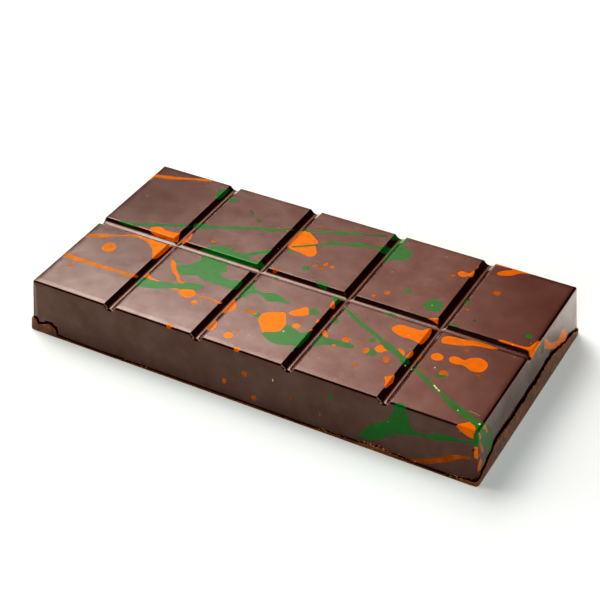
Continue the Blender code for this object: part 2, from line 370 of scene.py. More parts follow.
GREEN_TOP = [
    pool(0.8, (-72.6, -1.7), (-71.2, -1.9), (-71.4, -3), (-72.8, -3)),
    *drops((0.9, -39, -8.2, .85), (0.4, -42.9, -11, .35)),
    pool(1.0, (-33.8, -1.5), (-33.5, -4), (-34.5, -6.5), (-36.2, -8.4), (-37.7, -10), (-37.2, -11.9),
        (-35.2, -13.1), (-33, -12.9), (-31, -12), (-30.2, -11.3), (-29.3, -12), (-27.5, -12.6),
        (-22, -12.5), (-16.3, -12.3), (-16.3, -8), (-18.5, -8.2), (-20, -8.9), (-22.5, -8.7), (-24, -7.8),
        (-24.5, -7), (-23.2, -5.9), (-23.3, -4.9), (-24.8, -4.3), (-25, -3.2), (-24, -1.9),
        (-23.3, -1.5)),
    pool(1.0, (-43.9, -19.9), (-40, -19.8), (-37, -19.2), (-34, -17.9), (-31, -16.2), (-28.5, -14.9),
        (-26, -14.9), (-25.4, -16), (-27, -17.9), (-30, -19.2), (-33, -20.4), (-36, -22), (-39, -23.6),
        (-43.9, -24.2)),
    pool(1.0, (-13.9, -6.5), (-12.2, -8.2), (-10.5, -9.4), (-8, -9.6), (-6.5, -8.8), (-4.5, -8.3),
        (-2.5, -8.8), (-.5, -9.6), (1.6, -10.2), (1.2, -11), (-1, -11.3), (-2.5, -11.7), (-4.5, -12.7),
        (-6, -12.4), (-7.5, -11.3), (-9.5, -11), (-11, -11.6), (-11.8, -12.8), (-11.2, -13.8),
        (-12.6, -14.8), (-13.9, -15.4)),
    drop(0.9, -8.5, -1.7, 1.1, .6),
    pool(1.0, (10.2, -1.5), (13.7, -1.5), (13.7, -4.8), (11.8, -3.6), (11.4, -2.4)),
    pool(1.0, (7.8, -10.2), (8.5, -9.3), (10, -9.4), (11, -10.4), (10.6, -11.8), (9.5, -12.5),
        (8.6, -12.2)),
    drop(0.9, -4.1, -20, .8, 1.2),
    pool(0.9, (5.6, -20), (8, -20.4), (11, -21.3), (12.5, -20), (13.3, -19), (14, -22), (13.9, -26),
        (13.3, -28), (12, -27.3), (10, -28.4), (7, -29.2), (4.5, -28.8), (2.5, -27.8), (1.2, -26.2),
        (3.4, -25), (5.4, -23.4)),
    *drops((0.9, 12.7, -29.7, .6), (0.7, 13, -16.5, .35, .8), (0.9, 30, -1.6, 1.9, .7)),
    streak(0.95, (16.6, -5, .35), (20, -6.9, .8), (25, -9.6, .75), (30, -12, .65), (33.5, -14, .7),
        (35.3, -14.9, 1.3), (37.5, -16, 1.2), (40, -17.1, .9), (42.5, -18.5, 1.2), (43.3, -19.5, 1.3)),
    drop(0.9, 30.6, -14.8, 1.0),
    pool(0.9, (16.4, -10.2), (17.6, -10.8), (18.5, -12.1), (17.4, -12.9), (16.4, -13.4)),
    pool(0.8, (16.4, -19.7), (19, -19.9), (22, -19.3), (25, -19), (27.5, -19.8), (26.5, -21.1),
        (24, -21.6), (20, -22.8), (18.5, -23.8), (17.3, -24.9), (16.4, -25.4)),
    pool(0.85, (31, -18.6), (32.3, -18), (33.6, -18.6), (34.6, -20), (33.8, -21.1), (32, -21.2),
        (31, -20.8)),
    *drops((0.9, 47.1, -19.6, .5, .8), (0.8, 46, -21.2, .5)),
    streak(0.95, (46.6, -20.8, .4), (49, -21.9, .65), (52, -23.7, .75), (55, -25.3, .7), (58, -27, .7),
        (61, -28.9, .9), (63.5, -30.2, 1.25), (67, -31.8, 1.2), (70, -33, 1.1), (72.3, -34, 1.3)),
    pool(0.95, (71.2, -33), (73.6, -32.4), (73.6, -37.6), (72, -37.6), (72.1, -36), (71.6, -34.6)),
    pool(0.85, (52.9, -19.6), (54, -19.6), (56.2, -19.2), (55.4, -20.6), (54, -21.2), (53, -20.6)),
    drop(0.7, 57.8, -1, .8, .35),
    pool(0.95, (48.8, -36), (51.4, -36), (51.8, -38), (48.4, -38)),
    streak(0.85, (-67, 2.3, .3), (-64, 2.6, .4), (-61.5, 3.2, .5), (-59, 4.3, .8), (-55, 6, .8),
        (-50, 8.2, .8), (-46.4, 9.6, .7)),
    streak(0.7, (-67, 1.6, .5), (-64, 1.5, .6), (-61, 1.8, .5)),
    pool(0.95, (-46.2, 34.2), (-47.3, 33.7), (-48.8, 32), (-49, 30.5), (-48, 28.6), (-46.7, 27.3),
        (-45.8, 27.5), (-45.5, 30), (-45.8, 33.5)),
    drop(0.9, -42, 29.3, 1.6, 1.3),
    streak(0.45, (-33.5, 26.5, .35), (-32.3, 25.4, .35), (-31.3, 24.3, .35)),
    drop(0.45, -28.4, 22.7, 1.4, .8, radians(-35)),
    streak(0.95, (-44, 11.3, 1.6), (-40, 12.5, .9), (-36, 14.4, .85), (-30, 17.2, .9), (-26, 19.2, .75),
        (-22.8, 19.7, 1.2), (-20, 21.5, .5), (-16.6, 23.2, .6)),
    pool(1.0, (-35.2, 2), (-34.8, 3.5), (-33, 4.9), (-30, 5.7), (-27, 5.2), (-25, 4.7), (-23.2, 5.2),
        (-21.5, 7), (-19.5, 9), (-17.5, 10.5), (-16.9, 10.9), (-16.7, 8), (-18, 7.6), (-19.8, 6.2),
        (-21, 4.6), (-20.8, 3.6), (-19, 3), (-17.8, 3.4), (-16.8, 4.2), (-15.5, .5), (-35, .2)),
    streak(0.95, (-13.6, 25, .9), (-11, 25.1, .4), (-8.5, 26.3, .6), (-5, 27.7, .5), (-3, 28.7, .8),
        (-1, 29.2, 1.1), (.5, 29.9, .5), (2.5, 30.8, .9), (4, 31, .4)),
    streak(0.5, (4, 31, .4), (7, 32.2, .3), (9.7, 33.5, .7), (12, 34, .2)),
    pool(0.95, (12.7, 36.6), (14, 36.2), (15.5, 34.8), (14.5, 33), (13.3, 32.8), (12.8, 34)),
    streak(0.95, (-4.5, 20.6, .6), (-2.5, 22, .9), (-1, 22.9, 1.2), (.5, 23.4, .6), (3, 24.6, .8),
        (5.5, 25.7, 1.3), (7.3, 26.2, .9), (9, 26.6, .5), (11, 26.8, .7), (13, 27, 1.6), (13.9, 27, 1.9)),
    streak(0.5, (-12, 15.2, .45), (-9, 17.2, .45), (-6, 19.5, .45)),
    *drops((0.9, -11.2, 12.6, .8, 1.0), (0.9, -12.8, 13.8, .35), (0.95, -2.9, 7.2, 1.2)),
    pool(0.9, (2.5, 2.6), (4, 3), (5.5, 3.4), (6.8, 2.8), (7.3, 1.5), (7.8, .3), (5.5, .4), (4, 1.2),
        (3, 2)),
    drop(0.4, 1.5, 4, .4),
    pool(1.0, (16, 37.5), (18.5, 37.5), (18.2, 35.2), (17.9, 33.5), (17.7, 32), (18.4, 31.2), (20, 30.8),
        (21.5, 30), (22.5, 28.7), (22.8, 27.3), (22.3, 25.7), (21, 24.4), (19.5, 23.8), (18, 23),
        (17, 21.8), (16, 21.6)),
    *drops((0.95, 29.5, 11.1, 1.15), (1.0, 39.1, 8.3, 3.0), (0.5, 34.2, 3.6, .3)),
    pool(0.9, (46.4, 15.4), (47.4, 15), (47.9, 14.3), (47.3, 13.5), (46.4, 13.1)),
    pool(0.9, (46.5, 1.8), (47.6, 2.9), (48.5, 3.1), (49.2, 2.6), (49.7, 2.1)),
    *drops((0.95, 69.3, 7.8, 1.1), (0.35, 52.7, 7, .5)),
]
GREEN_WALL = [
    pool(0.8, (48.6, -.6), (51.4, -.6), (51.8, 1.2), (52.6, 3.2), (53.5, 5.5), (54.3, 6.7), (57, 6.8),
        (60, 5.8), (62.5, 4.8), (65, 4.4), (68, 4.6), (72, 3.5), (72, 4.3), (68, 5.3), (65, 6.2),
        (62, 7.2), (58.5, 7.7), (55, 8.2), (52, 9.2), (49.5, 10.1), (47, 11.7), (45, 13.3), (43, 14.6),
        (41, 15.3), (39, 15.3), (38.3, 14.6), (38.8, 13.4), (40, 12), (41.2, 10), (43, 8.8), (45.5, 7.2),
        (47, 5.2), (48, 2.8)),
    drop(0.9, 28.9, 5.6, .7),
    pool(0.95, (71.9, -.5), (73.6, -.5), (73.5, 4.4), (72, 4.6)),
    on_right_wall(pool, 0.8, (-36.6, -.5), (-33.5, .3), (-32.5, 1.2), (-30.5, 2), (-29, 4), (-27.6, 6),
        (-27.2, 8.5), (-27, 11), (-27.8, 12.6), (-29.5, 12.8), (-31, 10.5), (-33, 8.5), (-34.5, 6.2),
        (-35.5, 4.5), (-36.6, 3.4)),
    on_right_wall(pool, 0.7, (8.5, 1.5), (10, 1.3), (10.6, 3), (10.3, 5), (9.5, 6), (8.5, 5.5), (7.5, 5),
        (8, 3)),
]
LATE_ORANGE_WALL = [
    on_right_wall(streak, 0.75, (-33.3, .2, .4), (-32.4, 1.4, .75), (-31.6, 2.6, .4), (-30.8, 4.3, .3)),
    on_right_wall(streak, 0.6, (-36.1, .8, .35), (-35.2, 3.2, .45)),
    on_right_wall(streak, 0.6, (-35.2, 5.4, .35), (-34.2, 7.8, .6), (-33.5, 9.5, .3)),
]
LATE_ORANGE_TOP = [
    pool(0.95, (11.9, -3.6), (12.7, -4), (13.6, -5.2), (14.2, -6.8), (13.3, -7.1), (12.4, -6)),
    *drops((0.6, 22.1, -22, .7, .5), (0.55, 31, -19.8, 1.0, 1.3)),
]
# Tiny pale cream specks and one hair-thin pale line, drawn in a pale material.
PALE_TOP = [
    *drops((1.0, 54.8, -24.8, .5, .28, radians(-40)), (1.0, 55.6, -25.4, .5, .28, radians(-40)),
        (1.0, 56.6, -26, .5, .28, radians(-40)), (0.9, 51.5, -17.6, .25), (0.9, 64.6, -31.1, .2)),
    streak(0.45, (67.4, -29.9, .06), (69, -30, .12), (70.8, -30.4, .08)),
    *drops((1.0, 72, -33.5, .35), (0.8, 66.7, 1.9, .25), (0.8, 43.9, -20.7, .25), (0.8, 46.1, -21.3, .25),
        (0.6, 6.2, -23, .3)),
]
PALE_WALL = [
    *drops((0.8, 10.5, 6.3, .25, .45), (0.8, 30.9, .6, .3, .2)),
]


def layered(orange_blots, green_blots, late_orange_blots, pale_blots):
    """All blots of a sheet in the order they landed, each with its colour's material slot."""
    layers = ((1, orange_blots), (2, green_blots), (1, late_orange_blots), (3, pale_blots))
    return [(slot, cover, outline) for slot, blots in layers for cover, outline in blots]


TOP_BLOTS = [(slot, cover, landed(outline))
             for slot, cover, outline in layered(ORANGE_TOP, GREEN_TOP, LATE_ORANGE_TOP, PALE_TOP)]
WALL_BLOTS = layered(ORANGE_WALL, GREEN_WALL, LATE_ORANGE_WALL, PALE_WALL)


# The foot of the walls. A film of chocolate stands off them there, so they are cut back behind its
# broken rim. Places are by x along the front and back and by y along the ends; heights are in mm.
RAGGED_SHARE = 0.13
RAGGED_MOST = 0.75
CRACK_DEPTH = 1.3
CRACK_LIP = 0.22


def round_the_bar(front, right, back, left):
    """The four sides' values as one list, by the distance round the bar."""
    return (front + [(RIGHT_WALL + y, value) for y, value in right]
            + [(2 * RIGHT_WALL - x, value) for x, value in back]
            + [(3 * RIGHT_WALL - y, value) for y, value in left])


RIM_PLACES = round_the_bar(
    front=[(-72.6, 4.4), (-71.8, 2.6), (-70.4, 3.0), (-68.2, 3.9), (-66.6, 3.8), (-65.5, 2.7),
           (-64.8, 0.6), (-52, 0.4), (-40, 0.5), (-10, 0.6), (20, 0.5), (38, 0.9), (43, 1.3),
           (50, 1.0), (56, 0.5), (66, 0.45), (72.6, 1.2)],
    right=[(-36.3, 1.7), (-33, 3.0), (-29, 4.4), (-26, 5.8), (-22, 6.4), (-18, 5.8), (-13, 5.4),
           (-10, 5.8), (-5, 5.6), (-1, 6.1), (3, 5.8), (9, 6.3), (16, 6.7), (20, 5.8), (24, 4.8),
           (28, 4.0), (33, 3.5), (36.3, 2.0)],
    back=[(72.6, 2.0), (64, 1.5), (48, 1.0), (30, 1.3), (12, 0.8), (-10, 1.2), (-28, 0.9),
          (-44, 1.4), (-60, 1.0), (-72.6, 1.3)],
    left=[(36.3, 1.3), (28, 1.8), (16, 1.4), (4, 2.0), (-10, 1.6), (-24, 2.2), (-30, 3.6),
          (-33.5, 4.9), (-36.3, 4.4)])
# Painted highlight: how far the film hides its amber at the foot, so that an amber line along the foot
# stands in for light caught on its lower edge.
FOOT_EDGE_LIGHT_PLACES = round_the_bar(
    front=[(-72.6, 0.5), (-64, 0.9), (36, 0.85), (42, 0.5), (50, 0.85), (60, 0.9), (66, 0.3),
           (72.6, 0.0)],
    right=[(-34, 0.1), (-28, 0.6), (36, 0.6)],
    back=[(0, 0.8)],
    left=[(-36, 0.6)])
CRACK_PLACES = round_the_bar(
    front=[(-72.65, 0.28), (-65, 0.30), (-63.5, 0.0), (-45, 0.0), (36, 0.0), (44, 0.12), (56, 0.0),
           (72, 0.10)],
    right=[(-35, 0.25), (-29, 0.6), (-24, 1.05), (-19, 1.15), (-10, 1.0), (0, 1.2), (9, 0.95),
           (16, 1.0), (22, 0.7), (27, 0.3), (31, 0.4), (36, 0.2)],
    back=[(0, 0.0)],
    left=[(0, 0.0), (-22, 0.0), (-28, 0.2), (-36, 0.28)])


def along_sides(places, along):
    """Value at a distance round the bar, eased between its listed places."""
    along = (along + BORDER_X) % GIRTH - BORDER_X
    if along <= places[0][0]:
        return places[0][1]
    for (start, low), (end, high) in zip(places[:-1], places[1:]):
        if along <= end:
            share = (along - start) / (end - start)
            share = share * share * (3 - 2 * share)
            return low + (high - low) * share
    return places[-1][1]


def rim_height(along):
    """Height of the film's broken rim."""
    x, y = border_point(along)
    height = along_sides(RIM_PLACES, along)
    ragged = 0.6 * wavy(x, y, 0.4, 5.0) + 0.6 * wavy(x, y, 1.1, 9.0)
    return height + ragged * min(RAGGED_SHARE * height, RAGGED_MOST)


def wall_point(along, height, proud):
    """A point of the wall, or standing proud of it, at a distance round the bar and a height."""
    x, y = round_corner(*border_point(along))
    out_x, out_y = outward(x, y)
    out = WALL_LEAN * (HEIGHT - EDGE_DROP - height) + proud
    return x + out_x * out, y + out_y * out, height


def crack_recess(along, height):
    """How far the wall is cut back behind the film, from a lip just above the film's rim."""
    crack = along_sides(CRACK_PLACES, along)
    share = (rim_height(along) + crack - height) / CRACK_LIP
    return CRACK_DEPTH * crack * min(max(share, 0.0), 1.0)


# The body's mesh: its top and its walls are each a flat sheet, cut along every blot's outline and then
# bent into place, so that a blot's edge is an edge of the mesh.
WALL_TOP_ROW = 2.3
LIP_STEP = 0.6
BEHIND_FILM = 0.6
SHEET_MERGE = 1e-5
WELD_REACH = 0.003
SHORTEST_EDGE = 0.001
SKIN_INSET = 0.04
SKIN_SWELL = 0.026
SWELL_SCALE = 90
RIPPLE_SCALE = 330


def over_blot(outline, spots):
    """Which spots lie inside an outline, by how often it winds round each of them."""
    x, y = spots[:, :1], spots[:, 1:]
    start = np.array(outline)
    end = np.roll(start, -1, axis=0)
    side = (end[:, 0] - start[:, 0]) * (y - start[:, 1]) - (x - start[:, 0]) * (end[:, 1] - start[:, 1])
    rising = (start[:, 1] <= y) & (end[:, 1] > y) & (side > 0)
    falling = (start[:, 1] > y) & (end[:, 1] <= y) & (side < 0)
    return rising.sum(axis=1) != falling.sum(axis=1)


def cut_sheet(spots, edges, blots, inside):
    """The triangles of a flat sheet, each with the slot and cover of the last blot over it."""
    spots = [Vector(spot) for spot in spots]
    edges = list(edges)
    for _, _, outline in blots:
        first = len(spots)
        spots += [Vector(spot) for spot in outline]
        edges += [(k, k + 1) for k in range(first, len(spots) - 1)] + [(len(spots) - 1, first)]
    flat, _, faces, _, _, _ = delaunay_2d_cdt(spots, edges, [], 0, SHEET_MERGE, False)
    places = np.array([tuple(spot) for spot in flat])
    faces = np.array(faces)
    middles = places[faces].mean(axis=1)
    slots = np.zeros(len(faces), int)
    covers = np.zeros(len(faces))
    for slot, cover, outline in blots:
        low = np.min(outline, axis=0)
        high = np.max(outline, axis=0)
        near = np.flatnonzero(np.all((middles > low) & (middles < high), axis=1))
        over = near[over_blot(outline, middles[near])]
        slots[over] = slot
        covers[over] = cover
    pieces = [(face, slot, cover) for face, slot, cover, middle in
              zip(faces.tolist(), slots.tolist(), covers.tolist(), middles) if inside(*middle)]
    return flat, pieces


def crossings(outline, axis, level):
    """Where an outline crosses a straight line of the sheet."""
    found = []
    for a, b in zip(outline, outline[1:] + outline[:1]):
        if (a[axis] - level) * (b[axis] - level) < 0:
            share = (level - a[axis]) / (b[axis] - a[axis])
            found.append(a[1 - axis] + (b[1 - axis] - a[1 - axis]) * share)
    return found


# Every line or shore that meets the border from either sheet, as distances round the bar
stations = {round(x, 5) for x in columns} | {round(2 * RIGHT_WALL - x, 5) for x in columns}
stations |= {round(RIGHT_WALL + y, 5) for y in rows} | {round(3 * RIGHT_WALL - y, 5) for y in rows}
for _, _, outline in TOP_BLOTS:
    stations |= {x for x in crossings(outline, 1, -BORDER_Y) if abs(x) < BORDER_X}
    stations |= {2 * RIGHT_WALL - x for x in crossings(outline, 1, BORDER_Y) if abs(x) < BORDER_X}
    stations |= {RIGHT_WALL + y for y in crossings(outline, 0, BORDER_X) if abs(y) < BORDER_Y}
    stations |= {3 * RIGHT_WALL - y for y in crossings(outline, 0, -BORDER_X) if abs(y) < BORDER_Y}
for _, _, outline in WALL_BLOTS:
    stations |= set(crossings(outline, 1, EDGE_DROP))
stations = sorted(stations)

count_x = len(columns)
top_spots = [(x, y) for y in rows for x in columns] + [border_point(along) for along in stations]
top_edges = [(j * count_x + i, j * count_x + i + 1) for j in range(len(rows)) for i in range(count_x - 1)]
top_edges += [(j * count_x + i, (j + 1) * count_x + i)
              for j in range(len(rows) - 1) for i in range(count_x)]

# Where channels cross, their valleys run along the crossing's two diagonals
for middle in CROSS_CHANNELS:
    for lean in (-1, 1):
        first = len(top_spots)
        top_spots.append((middle - CHANNEL_REACH, -lean * CHANNEL_REACH))
        top_spots.append((middle + CHANNEL_REACH, lean * CHANNEL_REACH))
        top_edges.append((first, first + 1))
top_flat, top_pieces = cut_sheet(top_spots, top_edges, TOP_BLOTS,
                                 lambda x, y: abs(x) < BORDER_X and abs(y) < BORDER_Y)

wall_spots = []
wall_edges = []


def even_places(step):
    """Distances round the bar, at most a step apart, that end where they began."""
    count = ceil(GIRTH / step)
    return [-BORDER_X + GIRTH * k / count for k in range(count + 1)]


def add_chain(chain):
    """Add a line of points to the wall's sheet."""
    start = len(wall_spots)
    wall_spots.extend(chain)
    wall_edges.extend((k, k + 1) for k in range(start, start + len(chain) - 1))


wall_end = GIRTH - BORDER_X
add_chain([(along, EDGE_DROP + drop_at(*border_point(along))) for along in stations])
wall_columns = even_places(SHEET_STEP)
row_count = ceil((HEIGHT - WALL_TOP_ROW) / SHEET_STEP)
wall_rows = [WALL_TOP_ROW + (HEIGHT - WALL_TOP_ROW) * k / row_count for k in range(row_count + 1)]
for depth in wall_rows:
    add_chain([(along, depth) for along in wall_columns])
for along in wall_columns:
    add_chain([(along, depth) for depth in wall_rows])
for along in (-BORDER_X, wall_end):
    add_chain([(along, EDGE_DROP), (along, WALL_TOP_ROW)])

# Lines along the crack's lip and behind the film, so that the wall is cut where the rim runs
for below in (0.0, CRACK_LIP / 2, CRACK_LIP, BEHIND_FILM):
    add_chain([(along, HEIGHT - rim_height(along) - along_sides(CRACK_PLACES, along) + below)
               for along in even_places(LIP_STEP)])
wall_flat, wall_pieces = cut_sheet(
    wall_spots, wall_edges, WALL_BLOTS,
    lambda along, depth: -BORDER_X < along < wall_end and depth < HEIGHT
    and depth > EDGE_DROP + drop_at(*border_point(along)))

body_mesh = bmesh.new()
cover_layer = body_mesh.verts.layers.float.new("cover")


def add_sheet(flat, pieces, place):
    """Bend a cut sheet into place in the body's mesh."""
    made = {}
    for face, slot, cover in pieces:
        for k in face:
            if k not in made:
                made[k] = body_mesh.verts.new([value * MM for value in place(flat[k])])
            made[k][cover_layer] = max(made[k][cover_layer], cover)
        body_mesh.faces.new([made[k] for k in face]).material_index = slot


def wall_place(spot):
    """Where a point of the wall's flat sheet lies on the bar."""
    height = HEIGHT - spot.y
    return wall_point(spot.x, height, -crack_recess(spot.x, height))


add_sheet(top_flat, top_pieces, lambda spot: top_place(spot.x, spot.y))
add_sheet(wall_flat, wall_pieces, wall_place)
bmesh.ops.remove_doubles(body_mesh, verts=body_mesh.verts, dist=WELD_REACH * MM)
bmesh.ops.dissolve_degenerate(body_mesh, edges=body_mesh.edges, dist=SHORTEST_EDGE * MM)
foot = [edge for edge in body_mesh.edges if edge.is_boundary]
bmesh.ops.edgenet_fill(body_mesh, edges=foot)
bmesh.ops.recalc_face_normals(body_mesh, faces=body_mesh.faces)
for edge in foot:
    edge.smooth = False
body_mesh.normal_update()

# A cast surface is never quite flat
for vertex in body_mesh.verts:
    if vertex.co.z > 0.01 * MM:
        swell = noise.noise(vertex.co * SWELL_SCALE) + 0.4 * noise.noise(vertex.co * RIPPLE_SCALE)
        vertex.co -= vertex.normal * (SKIN_INSET + SKIN_SWELL * swell) * MM
for face in body_mesh.faces:
    face.smooth = True


def make_piece(name, mesh_data, materials):
    """The finished piece, put in the scene."""
    mesh = bpy.data.meshes.new(name)
    mesh_data.to_mesh(mesh)
    mesh_data.free()
    for material in materials:
        mesh.materials.append(material)
    piece = bpy.data.objects.new(name, mesh)
    bpy.context.scene.collection.objects.link(piece)
    return piece


# The finish of everything cast here: a satin skin with faint clouds of bloom, fine grain and pinpricks
FLOAT = "NodeSocketFloat"
COLOUR = "NodeSocketColor"


def new_group(name, inputs, outputs):
    """An empty shader node group with named sockets, and the ends that its nodes are linked to."""
    group = bpy.data.node_groups.new(name, "ShaderNodeTree")
    for socket_name, value in inputs.items():
        kind = FLOAT if isinstance(value, float) else COLOUR
        socket = group.interface.new_socket(socket_name, in_out="INPUT", socket_type=kind)
        socket.default_value = value
    for socket_name, kind in outputs.items():
        group.interface.new_socket(socket_name, in_out="OUTPUT", socket_type=kind)
    given = group.nodes.new("NodeGroupInput").outputs
    return group, given, group.nodes.new("NodeGroupOutput").inputs


def add_texture(tree, kind, scale):
    """A texture that is fixed to the piece."""
    node = tree.nodes.new(kind)
    node.inputs["Scale"].default_value = scale
    place = tree.nodes.new("ShaderNodeTexCoord")
    tree.links.new(place.outputs["Object"], node.inputs["Vector"])
    return node


def add_noise(tree, scale, detail, roughness):
    node = add_texture(tree, "ShaderNodeTexNoise", scale)
    node.inputs["Detail"].default_value = detail
    node.inputs["Roughness"].default_value = roughness
    return node.outputs["Fac"]


def add_range(tree, source, low, high, new_low, new_high):
    node = tree.nodes.new("ShaderNodeMapRange")
    tree.links.new(source, node.inputs["Value"])
    for name, value in (("From Min", low), ("From Max", high), ("To Min", new_low), ("To Max", new_high)):
        node.inputs[name].default_value = value
    return node.outputs["Result"]


def add_math(tree, operation, *values, clamp=False):
    node = tree.nodes.new("ShaderNodeMath")
    node.operation = operation
    node.use_clamp = clamp
    for socket, value in zip(node.inputs, values):
        if isinstance(value, (int, float)):
            socket.default_value = value
        else:
            tree.links.new(value, socket)
    return node.outputs["Value"]


def add_mix(tree, share, under, over):
    """One colour over another, as far as the share says."""
    node = tree.nodes.new("ShaderNodeMix")
    node.data_type = "RGBA"
    for name, source in (("Factor", share), ("A", under), ("B", over)):
        tree.links.new(source, node.inputs[name])
    return node.outputs["Result"]


finish, given, result = new_group(
    "cast finish",
    {"Colour": (0.05, 0.02, 0.01, 1), "Bloom": (0.1, 0.06, 0.05, 1), "Fleck": (0.4, 0.3, 0.2, 1),
     "Cloudiness": 0.3, "Fleckiness": 0.1, "Roughness": 0.35, "Grain": 0.3, "Gloss": 0.0},
    {"Colour": COLOUR, "Roughness": FLOAT, "Gloss": FLOAT, "Normal": "NodeSocketVector"})
clouds = add_range(finish, add_noise(finish, 95, 4, 0.55), 0.42, 0.72, 0.0, 1.0)
mottle = add_range(finish, add_noise(finish, 700, 3, 0.6), 0.35, 0.75, 0.0, 1.0)
grain = add_noise(finish, 5200, 3, 0.65)
veil = add_math(finish, "MULTIPLY_ADD", clouds, 0.75, 0.5)
veil = add_math(finish, "MULTIPLY", veil, given["Cloudiness"])
clouded = add_mix(finish, veil, given["Colour"], given["Bloom"])
specks = add_texture(finish, "ShaderNodeTexVoronoi", 620)
apart = finish.nodes.new("ShaderNodeSeparateColor")
finish.links.new(specks.outputs["Color"], apart.inputs["Color"])
chosen = add_math(finish, "LESS_THAN", apart.outputs["Red"], given["Fleckiness"])
small = add_range(finish, specks.outputs["Distance"], 0.10, 0.19, 0.85, 0.0)
flecks = add_math(finish, "MULTIPLY", chosen, small)
finish.links.new(add_mix(finish, flecks, clouded, given["Fleck"]), result["Colour"])
uneven = add_math(finish, "MULTIPLY", add_math(finish, "SUBTRACT", mottle, 0.5), 0.025)
uneven = add_math(finish, "ADD", uneven, add_math(finish, "MULTIPLY", clouds, 0.05))
finish.links.new(add_math(finish, "ADD", uneven, given["Roughness"]), result["Roughness"])
smears = add_range(finish, add_noise(finish, 105, 6, 0.62), 0.36, 0.64, 0.4, 1.6)
finish.links.new(add_math(finish, "MULTIPLY", smears, given["Gloss"]), result["Gloss"])
pricks = add_texture(finish, "ShaderNodeTexVoronoi", 420)
pits = add_range(finish, pricks.outputs["Distance"], 0.02, 0.09, -1.0, 0.0)
relief = add_math(finish, "MULTIPLY", grain, 0.6)
relief = add_math(finish, "ADD", relief, add_math(finish, "MULTIPLY", pits, 0.35))
relief = add_math(finish, "ADD", relief, add_math(finish, "MULTIPLY", mottle, 0.2))
bump = finish.nodes.new("ShaderNodeBump")
bump.inputs["Distance"].default_value = 0.00003
finish.links.new(given["Grain"], bump.inputs["Strength"])
finish.links.new(relief, bump.inputs["Height"])
finish.links.new(bump.outputs["Normal"], result["Normal"])

# A thin layer that lets what lies under it show through in uneven patches
thin_layer, layer_given, layer_result = new_group(
    "thin layer", {"Cover": 1.0, "Over": (0.6, 0.4, 0.2, 1), "Under": (0.05, 0.02, 0.01, 1)},
    {"Colour": COLOUR})
patches = add_range(thin_layer, add_noise(thin_layer, 380, 3, 0.5), 0.3, 0.7, -0.14, 0.1)
cover = add_math(thin_layer, "ADD", layer_given["Cover"], patches, clamp=True)
layers = add_mix(thin_layer, cover, layer_given["Under"], layer_given["Over"])
thin_layer.links.new(layers, layer_result["Colour"])
COAT = 0.34
COAT_ROUGHNESS = 0.2


def add_group(tree, group, **values):
    """A group placed in a material with its own values."""
    node = tree.nodes.new("ShaderNodeGroup")
    node.node_tree = group
    for name, value in values.items():
        node.inputs[name].default_value = value if isinstance(value, float) else (*value, 1)
    return node


def cast_material(name, sheen, specular, cover_over=None, **skin_values):
    """A cast material; where its cover is thin, the colour that it lies over shows through."""
    material = bpy.data.materials.new(name)
    material.use_nodes = True
    tree = material.node_tree
    shader = tree.nodes["Principled BSDF"]
    shader.inputs["Specular IOR Level"].default_value = specular
    shader.inputs["Specular Tint"].default_value = (*sheen, 1)
    shader.inputs["Coat Roughness"].default_value = COAT_ROUGHNESS
    skin = add_group(tree, finish, **skin_values)
    colour = skin.outputs["Colour"]
    tree.links.new(skin.outputs["Roughness"], shader.inputs["Roughness"])
    tree.links.new(skin.outputs["Normal"], shader.inputs["Normal"])
    if cover_over is None:
        skin.inputs["Gloss"].default_value = COAT
        tree.links.new(skin.outputs["Gloss"], shader.inputs["Coat Weight"])
    else:
        thin = add_group(tree, thin_layer, Under=cover_over)
        given_cover = tree.nodes.new("ShaderNodeAttribute")
        given_cover.attribute_name = "cover"
        tree.links.new(given_cover.outputs["Fac"], thin.inputs["Cover"])
        tree.links.new(colour, thin.inputs["Over"])
        colour = thin.outputs["Colour"]
    tree.links.new(colour, shader.inputs["Base Color"])
    return material


CHOCOLATE = (0.020, 0.0085, 0.0080)
WARM_SHEEN = (1.0, 0.75, 0.70)
chocolate = cast_material(
    "dark_chocolate", sheen=WARM_SHEEN, specular=0.80, Colour=CHOCOLATE, Bloom=(0.036, 0.022, 0.020),
    Fleck=(0.25, 0.14, 0.08), Cloudiness=0.25, Fleckiness=0.015, Roughness=0.22, Grain=0.35)
orange = cast_material(
    "orange_cocoa_butter", sheen=(1.0, 0.45, 0.0), specular=0.9, cover_over=CHOCOLATE,
    Colour=(0.60, 0.125, 0.001), Bloom=(0.66, 0.16, 0.005), Fleck=(0.80, 0.36, 0.02),
    Cloudiness=0.3, Fleckiness=0.04, Roughness=0.22, Grain=0.3)
green = cast_material(
    "green_cocoa_butter", sheen=(0.22, 0.65, 0.32), specular=0.9, cover_over=CHOCOLATE,
    Colour=(0.004, 0.105, 0.022), Bloom=(0.01, 0.13, 0.035), Fleck=(0.22, 0.33, 0.02),
    Cloudiness=0.3, Fleckiness=0.03, Roughness=0.22, Grain=0.3)
pale = cast_material(
    "pale_speck_material", sheen=(1.0, 0.85, 0.7), specular=0.5, cover_over=CHOCOLATE,
    Colour=(0.62, 0.50, 0.30), Bloom=(0.7, 0.6, 0.4), Fleck=(0.8, 0.7, 0.5),
    Cloudiness=0.3, Fleckiness=0.1, Roughness=0.35, Grain=0.3)
body = make_piece("moulded_body", body_mesh, [chocolate, orange, green, pale])
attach(body, "root")
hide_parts("chocolate_bar")

# The film at the foot. When the mould was filled, a thin skin of the same chocolate crept up between
# the wall and the mould. It is rooted in the bar at the foot and stands off the wall above, so it is made
# as one closed band whose section runs up behind the rim, over it and down to the table.
FILM_STEP = 0.3
FILM_THICK = 0.36
FILM_GAP = 0.04
FILM_ROOT = 0.15
FOOT_PROUD = 0.40
MOST_PROUD = 0.39
